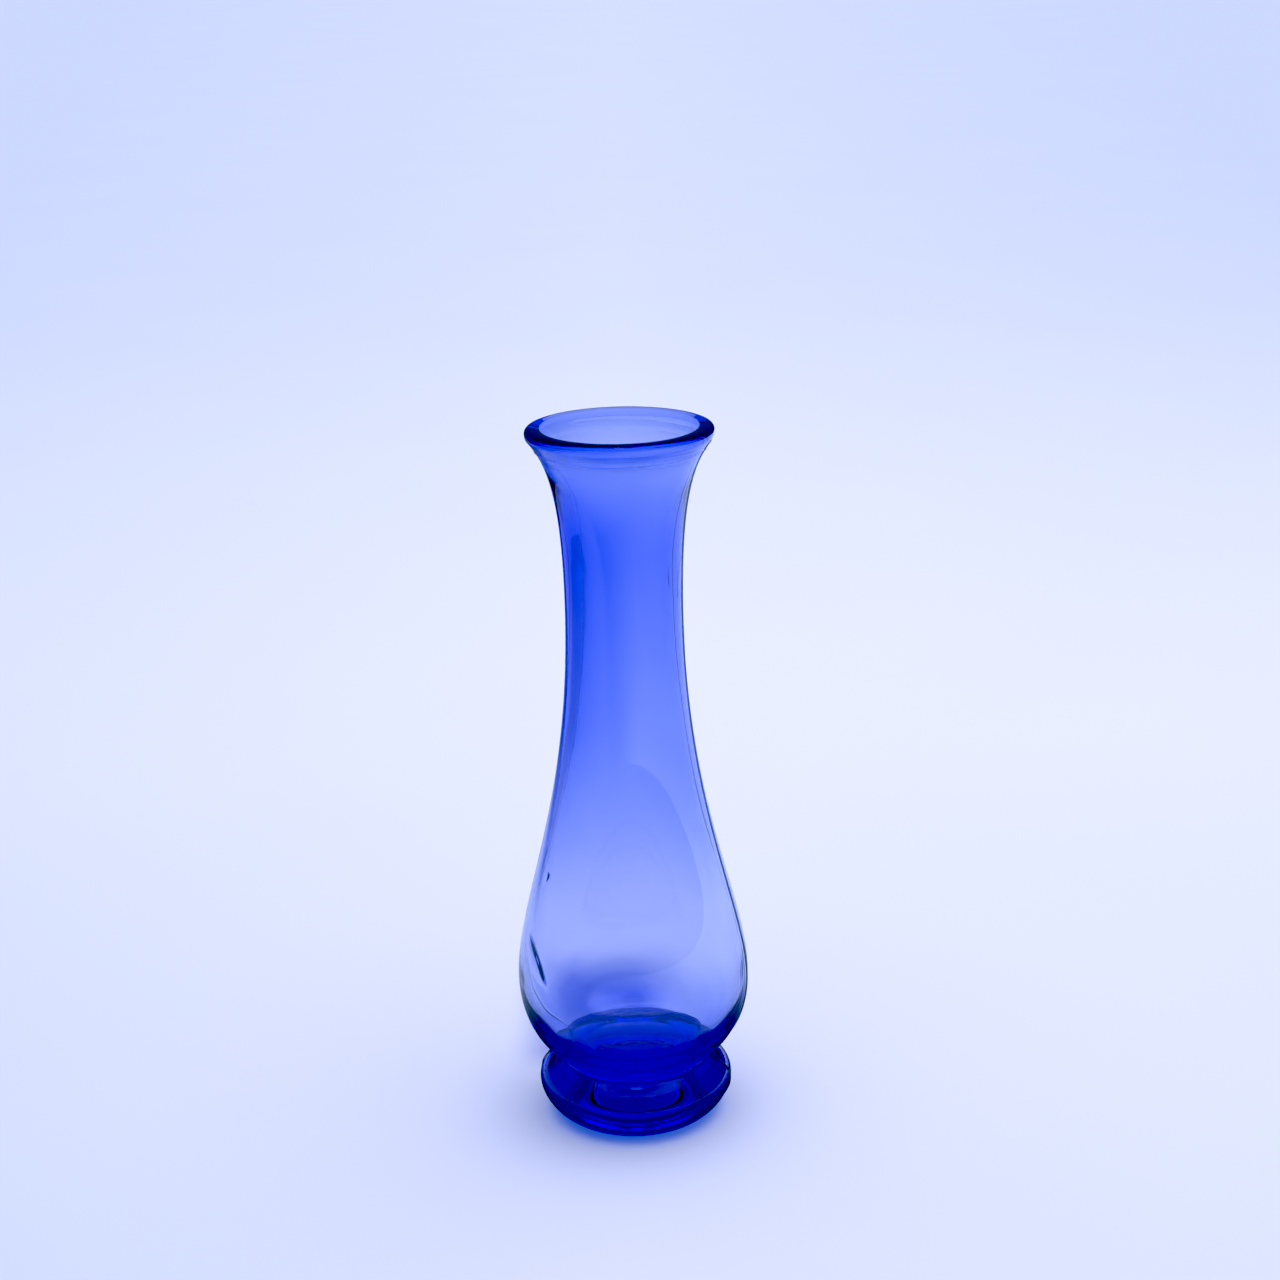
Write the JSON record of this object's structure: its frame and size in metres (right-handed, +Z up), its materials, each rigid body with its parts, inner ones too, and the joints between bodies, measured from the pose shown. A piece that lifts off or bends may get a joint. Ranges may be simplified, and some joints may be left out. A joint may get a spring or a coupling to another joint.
{
  "type": "glass bud vase",
  "caption": "Tall blue blown-glass bud vase: flared mouth, long slender neck, pear-shaped bulb, pinched waist and a solid rounded foot; holds cut stems in water.",
  "frame": {"origin": "centre of the ring that the vase stands on, at the floor", "axes": "+Z up along the turned axis; the mould's two seams lie near the X axis, on the +X and -X sides"},
  "size_m": [0.0714, 0.0714, 0.22],
  "materials": {
    "blue_glass": "clear cobalt-blue soda-lime glass, mould-blown, with a fire-polished lip and faint mould seams"
  },
  "bodies": {
    "root": {"vase_body": "blue_glass"}
  },
  "joints": []
}
